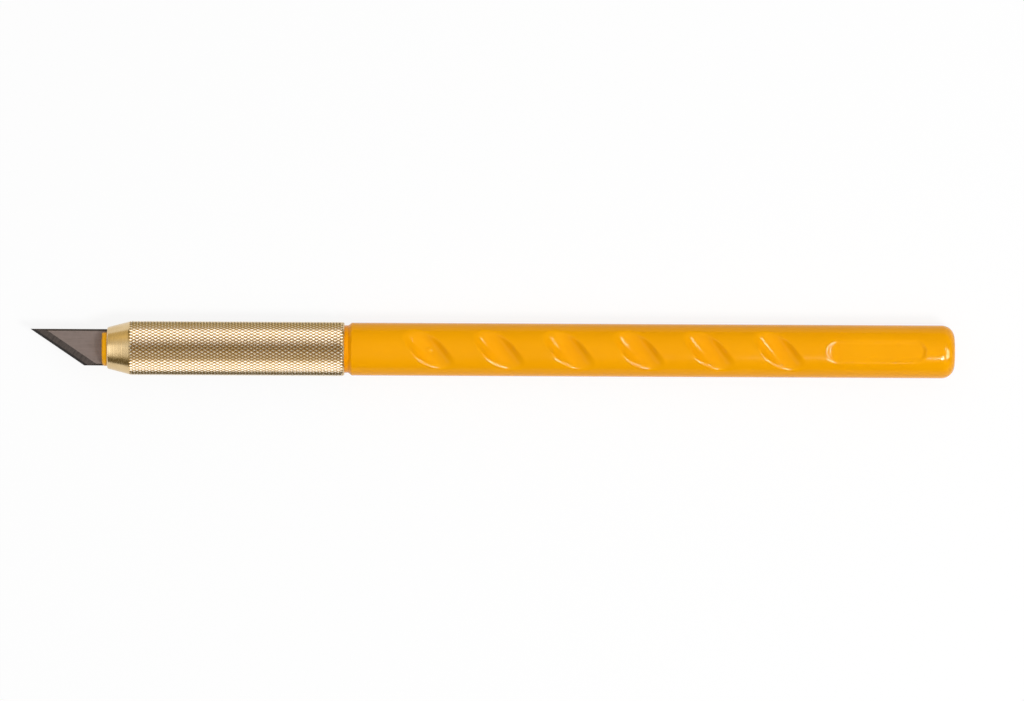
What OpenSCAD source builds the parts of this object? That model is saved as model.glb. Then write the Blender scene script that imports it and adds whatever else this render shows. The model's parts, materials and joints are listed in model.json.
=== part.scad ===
// Craft knife. A moulded grip barrel ends in a threaded spigot. A collet with two jaws sits
// loose in the spigot's socket, and a brass collar screws over it: its cone closes the jaws
// on a slanted strip blade. Sizes are in millimetres.
//
// Every piece is drawn along +X from the blade's tip, on the knife's axis, and placed() then
// moves it to the frame: origin under the middle of the knife, on the surface it lies on.
// Radii stack outwards from the blade, and lengths stack backwards from its tip.

/* [Blade] */
// Width of the blade strip, spine to cutting side
blade_w = 6; // [5:0.1:7]
// Thickness of the blade strip
blade_t = 0.45; // [0.35:0.05:0.7]
// Length from the tip to the end of the tail
blade_len = 40.5; // [34:0.5:56]
// How far the tip stands out of the jaws
blade_out = 11.85; // [10:0.05:16]
// How far the blade sits off the axis, towards its spine
blade_lift = 0.08; // [0:0.02:0.2]
// Angle between the spine and the cutting edge, in degrees
edge_angle = 34; // [30:1:45]
// Width of the ground bevel, square to the cutting edge
bevel_w = 1.35; // [0.8:0.05:1.8]
// Thickness left at the cutting edge
edge_t = 0.03; // [0.02:0.01:0.06]
// Radius of the round bite out of the tail's upper corner
notch_r = 1.7; // [1:0.1:2]
// Height of the blunt end of the tail
tail_blunt = 0.4; // [0.2:0.1:0.8]

/* [Collet] */
// How far the jaws stand out of the collar's nose
jaw_out = 0.85; // [0.4:0.05:1.2]
// Bevel round the front of the jaws
jaw_bevel = 0.3; // [0.1:0.05:0.4]
// Depth of the flat on the jaws' spine side, which bares the blade's back
jaw_flat = 0.48; // [0.3:0.01:0.9]
// Radius of the knuckle that each jaw swings on
knuckle_r = 0.75; // [0.6:0.05:0.85]
// Thickness of the web between a jaw and its knuckle
knuckle_web = 0.8; // [0.6:0.05:0.9]
// Distance from the head's front face to the middle of the knuckle seats
knuckle_inset = 1; // [0.9:0.05:1.4]
// Wall of the head behind the knuckle seats
head_wall = 0.62; // [0.4:0.02:1.2]
// Length of the collet's shank in the barrel's socket
shank_len = 19; // [17:0.5:24]
// Solid length at the shank's closed end
shank_end = 2; // [1:0.5:3]

/* [Collar] */
// Length of the smooth conical nose
nose_len = 3.25; // [2.8:0.05:5]
// Wall of the nose at its front edge
lip_wall = 0.3; // [0.25:0.05:0.5]
// Length of the straight bore behind the nose's front edge
lip_len = 0.5; // [0.3:0.05:0.8]
// Bevel round the nose's front edge
lip_bevel = 0.15; // [0.05:0.05:0.2]
// Length of the inside cone that closes the jaws
cone_len = 3.4; // [2.5:0.1:5]
// Step from the nose's thick end up to the knurled cylinder
knurl_step = 0.23; // [0.1:0.01:0.4]
// Length of the knurled cylinder
knurl_len = 35.8; // [30:0.05:40]
// Bevel at both ends of the knurled cylinder
knurl_bevel = 0.45; // [0.2:0.05:0.6]
// Wall of the collar over its rear skirt
collar_wall = 0.5; // [0.4:0.05:1]

/* [Thread] */
// Axial advance of the collar for each turn
pitch = 0.75; // [0.6:0.05:1]
// Height of the thread ridges
thread_depth = 0.3; // [0.2:0.02:0.34]
// Turns of thread on the barrel's spigot; the collar has one turn less
spigot_turns = 9; // [6:1:12]

/* [Barrel] */
// Plain length of the spigot in front of its thread
spigot_lead = 0.5; // [0.3:0.1:2]
// Bevel round the spigot's front edge
spigot_bevel = 0.1; // [0.05:0.05:0.2]
// Wall of the spigot under its thread
spigot_wall = 0.42; // [0.35:0.01:0.8]
// Length of the smooth neck between the spigot and the shoulder
neck_len = 2.6; // [2.5:0.1:4]
// Length of neck that shows behind the tightened collar
neck_gap = 0.65; // [0.4:0.05:1.5]
// Radial step from the neck up to the grip
shoulder_step = 0.44; // [0.2:0.02:1]
// Length of the sloped shoulder
shoulder_len = 0.55; // [0.3:0.05:1]
// Fillet round the butt end
butt_r = 2.15; // [0.8:0.05:3]
// Distance from the last feature of the grip to the butt end
butt_margin = 4.75; // [3.5:0.05:10]

/* [Finger scoops] */
// Number of scoops in each row
scoop_count = 6; // [2:1:8]
// Distance from the socket's floor to the first scoop's middle
scoop_lead = 4.7; // [4.6:0.05:12]
// Distance between scoops
scoop_pitch = 11.52; // [9:0.02:15]
// Radius of the round cutter that makes a scoop
scoop_r = 2.7; // [2.2:0.05:3]
// Depth of a scoop at its middle
scoop_depth = 1.4; // [0.8:0.05:1.5]
// Angle of the scoops to the knife's axis, in degrees
scoop_angle = 52; // [40:1:60]

/* [Marking panel] */
// Distance from the last scoop's middle to the panel
panel_lead = 7.95; // [5:0.05:12]
// Length of the sunk panel
panel_len = 16.4; // [8:0.1:24]
// Width of the sunk panel
panel_w = 3.55; // [2:0.05:4]
// Depth of the panel's flat floor at its middle line
panel_depth = 0.5; // [0.4:0.05:0.8]

/* [Clearances] */
// Gap on each face of the blade in its slot
slide_gap = 0.01; // [0.005:0.005:0.03]
// Gap between the blade's edges and the bores they pass through
blade_gap = 0.06; // [0.05:0.01:0.12]
// Gap between the jaws' tips and the nose bore
tip_gap = 0.16; // [0.12:0.01:0.3]
// Gap between the jaws' cone and the collar's cone
seat_gap = 0.02; // [0.01:0.01:0.05]
// Gap between the collet's shank and its socket, and at the socket's floor
shank_gap = 0.05; // [0.02:0.01:0.08]
// Gap round the collet's head inside the collar
bore_gap = 0.1; // [0.06:0.01:0.2]
// Room round the jaws inside the collar, in which they open
jaw_room = 0.32; // [0.3:0.01:0.4]
// Gap at the crests of the thread
crest_gap = 0.08; // [0.05:0.01:0.12]
// Gap at the flanks of the thread
flank_gap = 0.07; // [0.05:0.01:0.1]
// Gap between the neck and the collar's skirt
skirt_gap = 0.07; // [0.05:0.01:0.15]
// Gap between the neck's front face and the floor of the collar's skirt
neck_relief = 0.15; // [0.1:0.05:0.4]
// Gap round each knuckle in its seat
knuckle_gap = 0.03; // [0.02:0.01:0.06]
// Gap between the jaws and the collet's head
root_gap = 0.5; // [0.3:0.1:0.8]
// Step from the thread's crest up to the neck, and from the collet's head up to the thread's core
passing_step = 0.05; // [0.04:0.01:0.1]

/* [Hidden] */
$fn = 96;

// How far cutting shapes run past what they cut
over = 1;
// Rings in one turn of thread, and the part of a turn in which a ridge fades out
thread_rings = 24;
thread_fade = 0.5;
// How deep a thread ridge is rooted in its wall
thread_sink = 0.1;
flank_slope = tan(30);

// Radii, from the blade outwards
blade_reach = norm([blade_w / 2 + blade_lift, blade_t / 2]);
slot_half = blade_t / 2 + slide_gap;
nose_bore_r = blade_reach + blade_gap;
nose_r = nose_bore_r + lip_wall;
jaw_tip_r = nose_bore_r - tip_gap;
socket_r = blade_reach + blade_gap;
shank_r = socket_r - shank_gap;
core_r = socket_r + spigot_wall;
crest_r = core_r + thread_depth;
head_r = core_r - passing_step;
collar_bore_r = head_r + bore_gap;
jaw_r = collar_bore_r - jaw_room;
thread_minor_r = core_r + crest_gap;
thread_major_r = crest_r + crest_gap;
neck_r = crest_r + passing_step;
skirt_r = neck_r + skirt_gap;
collar_r = skirt_r + collar_wall;
barrel_r = neck_r + shoulder_step;
knuckle_z = (slot_half + jaw_r) / 2;

// Stations along the axis, from the blade's tip backwards
nose_x = blade_out + jaw_out;
cone_x = nose_x + lip_len;
cone_end_x = cone_x + cone_len;
knurl_x = nose_x + nose_len;
collar_end_x = knurl_x + knurl_len;
shoulder_x = collar_end_x + neck_gap;
neck_x = shoulder_x - neck_len;
spigot_thread_x = neck_x - pitch * (spigot_turns + 1);
spigot_x = spigot_thread_x - spigot_lead;
head_x = spigot_x - head_wall - knuckle_r - knuckle_gap - knuckle_inset;
jaw_end_x = head_x - root_gap;
knuckle_x = head_x + knuckle_inset;
skirt_x = neck_x - neck_relief;
collar_turns = spigot_turns - 1;
collar_thread_x = spigot_thread_x + pitch / 2;
relief_x = spigot_x - root_gap;
shank_end_x = spigot_x + shank_len;
socket_end_x = shank_end_x + shank_gap;
first_scoop_x = socket_end_x + scoop_lead;
last_scoop_x = first_scoop_x + (scoop_count - 1) * scoop_pitch;
panel_x = last_scoop_x + panel_lead;
butt_x = panel_x + panel_len + butt_margin;

// Moves a piece from the blade's tip to the frame's origin
module placed() {
    translate([-butt_x / 2, 0, collar_r]) children();
}

// Turns an outline of (radius, station) points round the knife's axis
module turned() {
    rotate([0, 90, 0]) rotate_extrude() children();
}

// A cylinder across the knife, along Y, with its middle at a station and height
module across(r, x, z) {
    translate([x, 0, z]) rotate([90, 0, 0]) cylinder(r = r, h = 2 * (head_r + over), center = true);
}

// A wide slab on the blade's plane from one station to another, cut out for the blade
module blade_slot(from_x, to_x) {
    translate([from_x, -collar_r, -slot_half]) cube([to_x - from_x, 2 * collar_r, 2 * slot_half]);
}

// Share of the full ridge height at one ring of a thread
function ridge_share(ring, rings) = min(1, min(ring, rings - ring) / (thread_fade * thread_rings));

// One ring of a ridge: four points at the foot and the crest, on a helix of the thread's pitch
function ridge_ring(angle, x, foot_r, top_r, foot_w, top_w) = [
    for (corner = [[foot_r, -foot_w], [top_r, -top_w], [top_r, top_w], [foot_r, foot_w]])
        [x + corner[1] / 2, corner[0] * cos(angle), corner[0] * sin(angle)]
];

// A helical thread ridge on a wall of radius wall_r, standing outwards (side 1) or inwards (side -1)
module thread_ridge(wall_r, side, start_x, turns) {
    rings = turns * thread_rings;
    mid_w = pitch / 2 - flank_gap;
    root_w = mid_w + thread_depth * flank_slope;
    foot_w = root_w + 2 * thread_sink * flank_slope;
    points = [
        for (ring = [0:rings])
            let (
                angle = 360 * ring / thread_rings,
                rise = ridge_share(ring, rings) * (thread_depth + thread_sink / 2) - thread_sink / 2,
                x = start_x + pitch * ring / thread_rings
            )
            each ridge_ring(angle, x, wall_r - side * thread_sink, wall_r + side * rise,
                            foot_w, root_w - 2 * rise * flank_slope)
    ];
    sides = [
        for (ring = [0:rings - 1], corner = [0:3])
            let (a = 4 * ring + corner, b = 4 * ring + (corner + 1) % 4)
            each [[a, b, b + 4], [a, b + 4, a + 4]]
    ];
    last = 4 * rings;
    ends = [[0, 2, 1], [0, 3, 2], [last, last + 1, last + 2], [last, last + 2, last + 3]];
    faces = concat(sides, ends);
    polyhedron(points, side > 0 ? faces : [for (f = faces) [f[0], f[2], f[1]]]);
}

// Grip barrel

// Outline of the barrel from the spigot to the rounded butt end, without the socket
module barrel_outline() {
    polygon([
        [0, spigot_x],
        [core_r - spigot_bevel, spigot_x],
        [core_r, spigot_x + spigot_bevel],
        [core_r, neck_x],
        [neck_r, neck_x],
        [neck_r, shoulder_x],
        [barrel_r, shoulder_x + shoulder_len],
        [barrel_r, butt_x - butt_r],
        [barrel_r - butt_r, butt_x - butt_r],
        [barrel_r - butt_r, butt_x],
        [0, butt_x]
    ]);
    intersection() {
        translate([barrel_r - butt_r, butt_x - butt_r]) circle(r = butt_r);
        translate([barrel_r - butt_r, butt_x - butt_r]) square(butt_r);
    }
}

// Slanted round cutters for one row of scoops, over the +Z side
module scoop_row() {
    for (i = [0:scoop_count - 1])
        translate([first_scoop_x + i * scoop_pitch, 0, barrel_r - scoop_depth + scoop_r])
            rotate([0, 0, -scoop_angle])
                rotate([0, 90, 0])
                    cylinder(r = scoop_r, h = 4 * barrel_r, center = true);
}

// Cutter for the sunk panel with its round ends
module panel_cut() {
    translate([panel_x, 0, barrel_r - panel_depth])
        linear_extrude(height = panel_depth + over) {
            translate([panel_w / 2, -panel_w / 2]) square([panel_len - panel_w, panel_w]);
            for (x = [panel_w / 2, panel_len - panel_w / 2])
                translate([x, 0]) circle(d = panel_w);
        }
}

module barrel() {
    color([0.96, 0.65, 0.02]) placed() {
        difference() {
            union() {
                turned() barrel_outline();
                thread_ridge(core_r, 1, spigot_thread_x, spigot_turns);
            }
            translate([spigot_x - over, 0, 0]) rotate([0, 90, 0])
                cylinder(r = socket_r, h = socket_end_x - spigot_x + over);
            scoop_row();
            rotate([180, 0, 0]) scoop_row();
            panel_cut();
        }
    }
}

// Collet: the head and shank that carry the jaws

// One round seat for a knuckle, with its mouth in the head's front face
module knuckle_seat() {
    across(knuckle_r + knuckle_gap, knuckle_x, knuckle_z);
    mouth = knuckle_web + 4 * knuckle_gap;
    translate([head_x - over, -head_r - over, knuckle_z - mouth / 2])
        cube([knuckle_inset + over, 2 * (head_r + over), mouth]);
}

module collet() {
    color([0.93, 0.6, 0.02]) placed() {
        difference() {
            turned() polygon([
                [0, head_x], [head_r, head_x], [head_r, spigot_x],
                [shank_r, spigot_x], [shank_r, shank_end_x], [0, shank_end_x]
            ]);
            blade_slot(head_x - over, shank_end_x - shank_end);
            knuckle_seat();
            mirror([0, 0, 1]) knuckle_seat();
        }
    }
}

// Outline of both jaws together, from the bevelled tip over the cone to the root
module jaw_outline() {
    cone_slope = (collar_bore_r - nose_bore_r) / cone_len;
    cone_foot_r = nose_bore_r - seat_gap;
    polygon([
        [0, blade_out],
        [jaw_tip_r - jaw_bevel, blade_out],
        [jaw_tip_r, blade_out + jaw_bevel],
        [jaw_tip_r, cone_x],
        [cone_foot_r, cone_x],
        [jaw_r, cone_x + (jaw_r - cone_foot_r) / cone_slope],
        [jaw_r, jaw_end_x],
        [0, jaw_end_x]
    ]);
}

// The jaw on the +Z side of the blade, with the knuckle that it swings on
module jaw() {
    flat_y = jaw_tip_r - jaw_flat;
    difference() {
        turned() jaw_outline();
        translate([0, -collar_r, -2 * collar_r + slot_half])
            cube([head_x + over, 2 * collar_r, 2 * collar_r]);
        translate([blade_out - over, flat_y, 0]) cube([cone_x - blade_out + over, collar_r, collar_r]);
    }
    intersection() {
        union() {
            across(knuckle_r, knuckle_x, knuckle_z);
            translate([jaw_end_x, -jaw_r, knuckle_z - knuckle_web / 2])
                cube([knuckle_x - jaw_end_x, 2 * jaw_r, knuckle_web]);
        }
        rotate([0, 90, 0]) cylinder(r = jaw_r, h = spigot_x);
    }
}

module front_jaw() {
    color([0.95, 0.63, 0.02]) placed() jaw();
}

module back_jaw() {
    color([0.95, 0.63, 0.02]) placed() mirror([0, 0, 1]) jaw();
}

// Screwed collar

// Half section of the collar's wall: the outside from nose to rear, then the inside back again
module collar_outline() {
    polygon([
        [nose_bore_r, nose_x],
        [nose_r - lip_bevel, nose_x],
        [nose_r, nose_x + lip_bevel],
        [collar_r - knurl_step, knurl_x],
        [collar_r, knurl_x + knurl_bevel],
        [collar_r, collar_end_x - knurl_bevel],
        [collar_r - knurl_bevel / 2, collar_end_x],
        [skirt_r, collar_end_x],
        [skirt_r, skirt_x],
        [thread_major_r, skirt_x],
        [thread_major_r, relief_x],
        [collar_bore_r, relief_x],
        [collar_bore_r, cone_end_x],
        [nose_bore_r, cone_x]
    ]);
}

module collar() {
    color([0.79, 0.65, 0.42]) placed() {
        turned() collar_outline();
        thread_ridge(thread_major_r, -1, collar_thread_x, collar_turns);
    }
}

// Strip blade

spine_y = blade_w / 2 + blade_lift;
belly_y = spine_y - blade_w;
heel_x = blade_w / tan(edge_angle);

// Flat outline: slanted edge at the front, slanted tail with a round bite at its upper corner
module blade_outline() {
    tail_top_x = blade_len - (blade_w - tail_blunt) / tan(edge_angle);
    difference() {
        polygon([
            [0, spine_y],
            [heel_x, belly_y],
            [blade_len, belly_y],
            [blade_len, belly_y + tail_blunt],
            [tail_top_x, spine_y]
        ]);
        translate([tail_top_x, spine_y]) circle(r = notch_r);
    }
}

// Wedge that grinds the bevel on the +Z face
module bevel_cut() {
    bevel_angle = atan((blade_t - edge_t) / 2 / bevel_w);
    edge_run = norm([heel_x, blade_w]);
    translate([0, spine_y, edge_t / 2])
        rotate([0, 0, -edge_angle])
            rotate([bevel_angle, 0, 0])
                translate([-blade_w, -blade_w, 0])
                    cube([edge_run + 2 * blade_w, blade_w + 2 * bevel_w, blade_w]);
}

module blade() {
    color([0.6, 0.56, 0.54]) placed() {
        difference() {
            translate([0, 0, -blade_t / 2]) linear_extrude(height = blade_t) blade_outline();
            bevel_cut();
            mirror([0, 0, 1]) bevel_cut();
        }
    }
}

barrel();
collet();
front_jaw();
back_jaw();
collar();
blade();
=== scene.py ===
"""Dresses the craft knife: scooped plastic barrel, knurled brass collar, collet with two jaws, strip blade.

Shapes are worked out in the knife's own millimetres: a station along the axis from the blade's tip, y towards
the blade's spine and z towards the face with the sunk panel. Axis.place() then puts them into the frame.
"""

import json
import logging
import math
from dataclasses import dataclass, field
from enum import Enum
from typing import Any, Sequence

import bmesh
import bpy
import numpy as np
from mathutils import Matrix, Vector

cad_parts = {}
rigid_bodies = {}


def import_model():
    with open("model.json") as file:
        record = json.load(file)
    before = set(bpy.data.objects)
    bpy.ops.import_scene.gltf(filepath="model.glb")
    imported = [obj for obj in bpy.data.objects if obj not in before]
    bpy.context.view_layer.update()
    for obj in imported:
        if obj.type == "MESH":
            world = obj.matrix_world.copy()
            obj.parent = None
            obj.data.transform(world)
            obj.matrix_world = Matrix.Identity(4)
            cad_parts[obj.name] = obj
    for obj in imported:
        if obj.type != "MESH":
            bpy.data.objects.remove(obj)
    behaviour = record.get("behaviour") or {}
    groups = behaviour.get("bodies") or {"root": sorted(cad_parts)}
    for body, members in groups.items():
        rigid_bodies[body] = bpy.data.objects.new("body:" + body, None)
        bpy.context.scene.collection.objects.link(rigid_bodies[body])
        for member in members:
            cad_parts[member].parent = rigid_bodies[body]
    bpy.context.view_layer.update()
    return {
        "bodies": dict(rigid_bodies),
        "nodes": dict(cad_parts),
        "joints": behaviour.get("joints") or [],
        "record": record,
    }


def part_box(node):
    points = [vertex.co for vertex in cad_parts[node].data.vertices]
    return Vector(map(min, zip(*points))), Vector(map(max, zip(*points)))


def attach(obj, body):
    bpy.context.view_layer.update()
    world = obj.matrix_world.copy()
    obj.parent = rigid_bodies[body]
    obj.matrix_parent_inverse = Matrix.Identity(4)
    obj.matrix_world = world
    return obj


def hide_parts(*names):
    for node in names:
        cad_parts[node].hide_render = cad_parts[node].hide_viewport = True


MM = 0.001
FULL_TURN = 2 * math.pi

log = logging.getLogger("craft_knife")

Colour = tuple[float, float, float]
Pair = tuple[float, float]
Faces = list[tuple[int, ...]]
Socket = bpy.types.NodeSocket

WHITE: Colour = (1.0, 1.0, 1.0)
DAYLIGHT: Colour = (0.74, 0.82, 1.0)

# A share that grows from nothing to all, and one that falls from all to nothing
RISING: Pair = (0.0, 1.0)
FALLING: Pair = (1.0, 0.0)

# Where nearly all values of a noise lie
NOISE_RANGE: Pair = (0.3, 0.7)


class Lay(Enum):
    """Which way the fine marks of a machined surface run, as degrees from the knife's axis."""

    ALONG = 0.0
    SQUARE_TO_EDGE = 56.0
    ALONG_EDGE = -34.0


class Side(Enum):
    """The two jaws, on either side of the blade, by the names of their nodes."""

    FRONT = "front_jaw"
    BACK = "back_jaw"


class Ground(Enum):
    """The blade's surfaces, by the places of their steels."""

    FACE = 0
    BEVEL = 1
    HONE = 2
    SIDE = 3


@dataclass(frozen=True)
class Axis:
    """The knife's axis in the frame.

    Attributes:
        tip_x: Frame X of the blade's tip, in metres.
        height: Height of the axis over the floor, in metres.
    """

    tip_x: float
    height: float

    def station(self, x: float) -> float:
        """Station, in millimetres from the tip, of a frame X in metres."""
        return (x - self.tip_x) / MM

    def frame_x(self, station: float) -> float:
        """Frame X, in metres, of a station."""
        return self.tip_x + station * MM

    def place(self, points: np.ndarray) -> np.ndarray:
        """Frame coordinates, in metres, of points in the knife's own millimetres."""
        return np.asarray(points, float) * MM + np.array((self.tip_x, 0.0, self.height))

    def ends(self, node: str) -> Pair:
        """First and last station of a node of the frame."""
        low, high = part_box(node)
        return self.station(low.x), self.station(high.x)


def opaque(colour: Any) -> Any:
    """A plain colour with its alpha, or a socket as it is."""
    return colour if isinstance(colour, bpy.types.NodeSocket) else (*colour, 1.0)


class Wiring:
    """A node tree being written: adds nodes, sets their sockets and links them."""

    def __init__(self, tree: bpy.types.NodeTree) -> None:
        """Starts from an empty tree."""
        self.tree = tree
        tree.nodes.clear()

    def feed(self, socket: Socket, value: Any) -> None:
        """Links a socket to another one, or sets its own value.

        Args:
            socket: The input to feed.
            value: The source socket, or the value.
        """
        if isinstance(value, bpy.types.NodeSocket):
            self.tree.links.new(value, socket)
        else:
            socket.default_value = value

    def add(self, kind: str, sockets: dict[Any, Any] | None = None, **settings: Any) -> bpy.types.Node:
        """Adds one node.

        Args:
            kind: The node's type name.
            sockets: Values or source sockets, by the input's name or place.
            **settings: The node's own options, set before its sockets.

        Returns:
            The new node.
        """
        node = self.tree.nodes.new(kind)
        for key, value in settings.items():
            setattr(node, key, value)
        for key, value in (sockets or {}).items():
            self.feed(node.inputs[key], value)
        return node

    def reckon(self, operation: str, first: Any, second: Any = 0.0) -> Socket:
        """Result of one Math node on one or two values or sockets."""
        return self.add("ShaderNodeMath", {0: first, 1: second}, operation=operation).outputs[0]

    def plus(self, first: Any, second: Any) -> Socket:
        """Sum of two values or sockets."""
        return self.reckon("ADD", first, second)

    def minus(self, first: Any, second: Any) -> Socket:
        """Difference of two values or sockets."""
        return self.reckon("SUBTRACT", first, second)

    def times(self, first: Any, second: Any) -> Socket:
        """Product of two values or sockets."""
        return self.reckon("MULTIPLY", first, second)

    def over(self, first: Any, second: Any) -> Socket:
        """Quotient of two values or sockets."""
        return self.reckon("DIVIDE", first, second)

    def lower(self, first: Any, second: Any) -> Socket:
        """The lower of two values or sockets."""
        return self.reckon("MINIMUM", first, second)

    def higher(self, first: Any, second: Any) -> Socket:
        """The higher of two values or sockets."""
        return self.reckon("MAXIMUM", first, second)

    def negative(self, value: Any) -> Socket:
        """A value or socket with its sign turned round."""
        return self.times(value, -1.0)

    def vector(self, x: Any, y: Any, z: Any) -> Socket:
        """A vector put together from three values or sockets."""
        return self.add("ShaderNodeCombineXYZ", {0: x, 1: y, 2: z}).outputs[0]

    def parts(self, vector: Socket) -> Sequence[Socket]:
        """The three parts of a vector."""
        return self.add("ShaderNodeSeparateXYZ", {0: vector}).outputs

    def radius(self, y: Socket, z: Socket) -> Socket:
        """Distance from the axis of a point that lies y beside it and z over it."""
        across = {0: self.vector(0.0, y, z)}
        return self.add("ShaderNodeVectorMath", across, operation="LENGTH").outputs["Value"]

    def spread(self, value: Socket, source: Pair, target: Pair) -> Socket:
        """A value mapped smoothly from one range to another and held at its ends."""
        sockets = {0: value, 1: source[0], 2: source[1], 3: target[0], 4: target[1]}
        return self.add("ShaderNodeMapRange", sockets, interpolation_type="SMOOTHSTEP").outputs[0]

    def blend(self, share: Socket, first: Any, second: Any) -> Socket:
        """Mix of two colours by a share from 0 to 1."""
        sockets = {0: share, 6: opaque(first), 7: opaque(second)}
        return self.add("ShaderNodeMix", sockets, data_type="RGBA").outputs[2]

    def between(self, share: Socket, first: Any, second: Any) -> Socket:
        """Mix of two numbers by a share from 0 to 1."""
        return self.add("ShaderNodeMix", {0: share, 2: first, 3: second}).outputs[0]

    def noise(self, place: Socket, size: float, detail: float) -> Socket:
        """Value of a noise whose features are about one size, in millimetres, over Object coordinates."""
        sockets = {"Vector": place, "Scale": 1.0 / (size * MM), "Detail": detail}
        return self.add("ShaderNodeTexNoise", sockets).outputs[0]


class Coat:
    """A node material being written round one Principled shader."""

    def __init__(self, name: str) -> None:
        """Makes the material with its shader and output.

        Args:
            name: The material's name.
        """
        self.material = bpy.data.materials.new(name)
        self.material.use_nodes = True
        self.wiring = Wiring(self.material.node_tree)
        self.shader = self.wiring.add("ShaderNodeBsdfPrincipled")
        self.wiring.add("ShaderNodeOutputMaterial", {"Surface": self.shader.outputs[0]})
        self.place = self.wiring.add("ShaderNodeTexCoord").outputs["Object"]

    def set(self, **sockets: Any) -> None:
        """Sets sockets of the shader, named with underscores for spaces."""
        for key, value in sockets.items():
            self.wiring.feed(self.shader.inputs[key.replace("_", " ")], value)

    def bump(self, heights: Sequence[tuple[Socket, float]]) -> None:
        """Roughens the surface.

        Args:
            heights: Pairs of a height from 0 to 1 and the depth, in millimetres, that it stands for.
        """
        normal: Socket | None = None
        for height, depth in heights:
            sockets = {"Strength": 1.0, "Distance": depth * MM, "Height": height}
            if normal is not None:
                sockets["Normal"] = normal
            normal = self.wiring.add("ShaderNodeBump", sockets).outputs[0]
        self.wiring.feed(self.shader.inputs["Normal"], normal)


@dataclass(frozen=True)
class MouldedPlastic:
    """Glossy moulded plastic with faint flow in its colour and a soft orange peel.

    Attributes:
        name: The material's name.
        colour: Main colour.
        flow_colour: Colour of the faint flow bands.
        roughness: Lowest and highest roughness, which vary with handling marks.
        gloss: Specular level.
        index: Refractive index of the skin.
        gloss_colour: Tint of the reflections.
        flow_size: Size of the flow bands, in millimetres.
        flow_range: Values of the noise between which the flow bands set in.
        smear_size: Size of the handling marks.
        peel_size: Size of the orange peel.
        peel_depth: Depth of the orange peel.
        neck_shade: Frame X, in metres, up to which painted shade deepens the colour and from which it is
            plain.
        neck_shade_colour: The colour with the painted shade.
    """

    name: str
    colour: Colour
    flow_colour: Colour
    roughness: Pair = (0.08, 0.14)
    gloss: float = 0.5
    index: float = 1.2
    gloss_colour: Colour = (1.0, 0.9, 0.65)
    flow_size: float = 16.0
    flow_range: Pair = (0.35, 0.65)
    smear_size: float = 1.8
    peel_size: float = 0.5
    peel_depth: float = 0.0016
    neck_shade: Pair | None = None
    neck_shade_colour: Colour = (0.95, 0.35, 0.001)

    def make(self) -> bpy.types.Material:
        """Builds the material.

        Returns:
            The material.
        """
        coat = Coat(self.name)
        wiring = coat.wiring
        flow = wiring.spread(wiring.noise(coat.place, self.flow_size, detail=4.0), self.flow_range, RISING)
        smear = wiring.noise(coat.place, self.smear_size, detail=5.0)
        colour = wiring.blend(flow, self.colour, self.flow_colour)
        # Painted shade: the colour turns deeper towards the collar, over the neck and the shoulder.
        if self.neck_shade:
            deeper = wiring.spread(wiring.parts(coat.place)[0], self.neck_shade, FALLING)
            colour = wiring.blend(deeper, colour, self.neck_shade_colour)
        coat.set(
            Base_Color=colour,
            Roughness=wiring.spread(smear, NOISE_RANGE, self.roughness),
            Specular_IOR_Level=self.gloss,
            Specular_Tint=opaque(self.gloss_colour),
            IOR=self.index,
        )
        coat.bump([(wiring.noise(coat.place, self.peel_size, detail=2.0), self.peel_depth)])
        return coat.material


@dataclass(frozen=True)
class TurnedBrass:
    """Pale turned brass: rings of tool marks, a little tarnish, and painted shade where the radius is small.

    Attributes:
        name: The material's name.
        axis_height: Height of the knife's axis, in metres.
        colour: Colour of bright metal.
        tarnish_colour: Colour of tarnished metal.
        pit_shade_colour: Colour of the painted shade where the radius is small.
        pit_shade_radii: Radii, in millimetres, at which the painted shade is full and at which it has faded
            out.
        roughness: Lowest and highest roughness.
        smear_size: Size of the marks with which the roughness varies, in millimetres.
        ring_sizes: Distance between the coarse tool marks and between the fine ones.
        ring_depths: Depth of the coarse tool marks and of the fine ones.
        tarnish_size: Size of the tarnished spots.
        tarnish_range: Values of the noise between which the tarnish sets in.
    """

    name: str
    axis_height: float
    colour: Colour
    tarnish_colour: Colour
    pit_shade_colour: Colour
    pit_shade_radii: Pair
    roughness: Pair = (0.16, 0.26)
    smear_size: float = 0.4
    ring_sizes: Pair = (0.22, 0.05)
    ring_depths: Pair = (0.0055, 0.0012)
    tarnish_size: float = 2.5
    tarnish_range: Pair = (0.4, 0.75)

    def make(self) -> bpy.types.Material:
        """Builds the material.

        Returns:
            The material.
        """
        coat = Coat(self.name)
        wiring = coat.wiring
        along, across, up = wiring.parts(coat.place)
        radius = wiring.radius(across, wiring.minus(up, self.axis_height))
        # Painted shade: the metal darkens towards small radii, in the knurl's roots and in the bore.
        unshaded = wiring.spread(radius, tuple(r * MM for r in self.pit_shade_radii), RISING)
        spots = wiring.noise(coat.place, self.tarnish_size, detail=6.0)
        tarnish = wiring.spread(spots, self.tarnish_range, RISING)
        metal = wiring.blend(tarnish, self.colour, self.tarnish_colour)
        smear = wiring.noise(coat.place, self.smear_size, detail=4.0)
        coat.set(
            Base_Color=wiring.blend(unshaded, self.pit_shade_colour, metal),
            Roughness=wiring.spread(smear, NOISE_RANGE, self.roughness),
            Metallic=1.0,
        )
        coat.bump([(self.ring_mark(wiring, along, size), depth)
                   for size, depth in zip(self.ring_sizes, self.ring_depths)])
        return coat.material

    @staticmethod
    def ring_mark(wiring: Wiring, along: Socket, size: float) -> Socket:
        """Height of tool marks that run round the axis, about one size apart."""
        sockets = {"W": wiring.over(along, size * MM), "Scale": 1.0, "Detail": 2.0}
        return wiring.add("ShaderNodeTexNoise", sockets, noise_dimensions="1D").outputs[0]


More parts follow.
